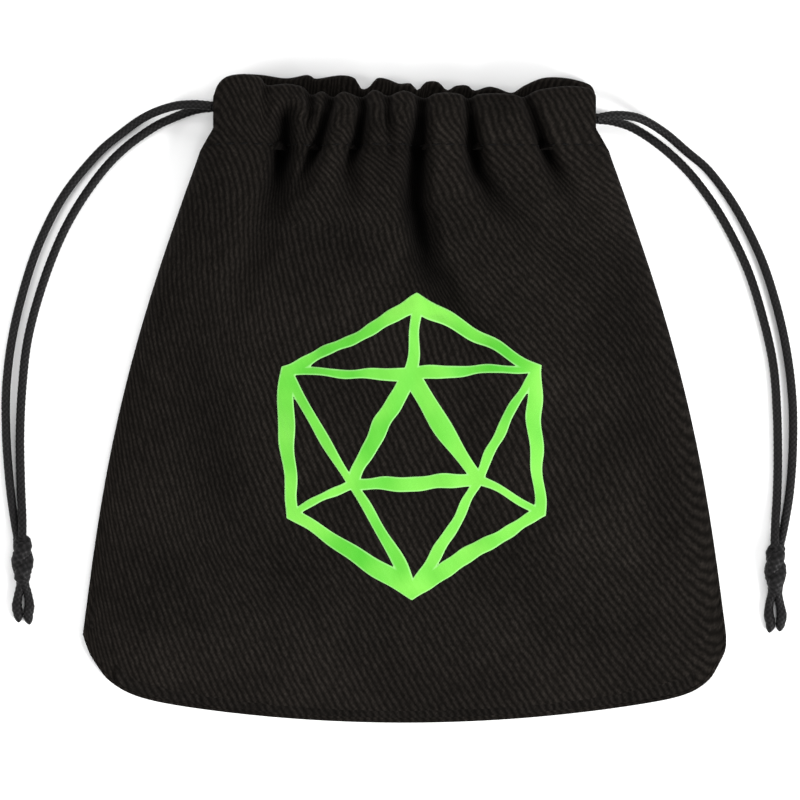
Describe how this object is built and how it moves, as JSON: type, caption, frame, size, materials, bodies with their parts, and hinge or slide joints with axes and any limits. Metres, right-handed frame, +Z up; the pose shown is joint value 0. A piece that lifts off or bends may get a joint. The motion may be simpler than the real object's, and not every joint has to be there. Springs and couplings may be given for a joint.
{
  "type": "drawstring dice bag",
  "caption": "Flat drawstring pouch of black twill, with a partly gathered mouth, two braided cords tied in knots, and a painted outline of a die.",
  "frame": {"origin": "under the middle of the pouch, on the surface it lies on", "axes": "+X to the right across the front, +Y from the bottom seam towards the mouth, +Z up off the floor, out of the front face"},
  "size_m": [0.1855, 0.15, 0.0145],
  "materials": {
    "twill": "matte cotton twill",
    "seam_cloth": "matte cotton twill, raw inner side",
    "thread": "spun polyester thread, slight sheen",
    "braid": "fine braided polyester cord, slight sheen",
    "paint": "flexible fabric paint, satin"
  },
  "bodies": {
    "root": {"front_panel": "twill", "back_panel": "twill", "front_casing": "twill", "back_casing": "twill", "left_side_seam": "seam_cloth", "right_side_seam": "seam_cloth", "bottom_seam": "seam_cloth", "front_casing_stitches": "thread", "back_casing_stitches": "thread", "left_seam_stitches": "thread", "right_seam_stitches": "thread", "bottom_seam_stitches": "thread", "painted_mark": "paint", "left_cord_loop": "braid", "right_cord_loop": "braid"},
    "left_drawstring": {"left_front_strand": "braid", "left_back_strand": "braid", "left_knot": "braid", "left_front_tail": "braid", "left_back_tail": "braid"},
    "right_drawstring": {"right_front_strand": "braid", "right_back_strand": "braid", "right_knot": "braid", "right_front_tail": "braid", "right_back_tail": "braid"},
    "left_mouth_end": {"left_vent_hem": "seam_cloth"},
    "right_mouth_end": {"right_vent_hem": "seam_cloth"}
  },
  "joints": [
    {"name": "left_pull", "type": "slide", "parent": "root", "child": "left_drawstring", "axis": [-1, 0, 0], "range_m": [0, 0.016], "deforming": ["left_cord_loop"]},
    {"name": "right_pull", "type": "slide", "parent": "root", "child": "right_drawstring", "axis": [1, 0, 0], "range_m": [0, 0.016], "deforming": ["right_cord_loop"]},
    {"name": "left_gather", "type": "slide", "parent": "root", "child": "left_mouth_end", "axis": [1, 0, 0], "range_m": [0, 0.016]},
    {"name": "right_gather", "type": "slide", "parent": "root", "child": "right_mouth_end", "axis": [-1, 0, 0], "range_m": [0, 0.016]}
  ],
  "couplings": [
    {"joint": "left_gather", "follows": "left_pull", "ratio": 1},
    {"joint": "right_gather", "follows": "right_pull", "ratio": 1}
  ]
}
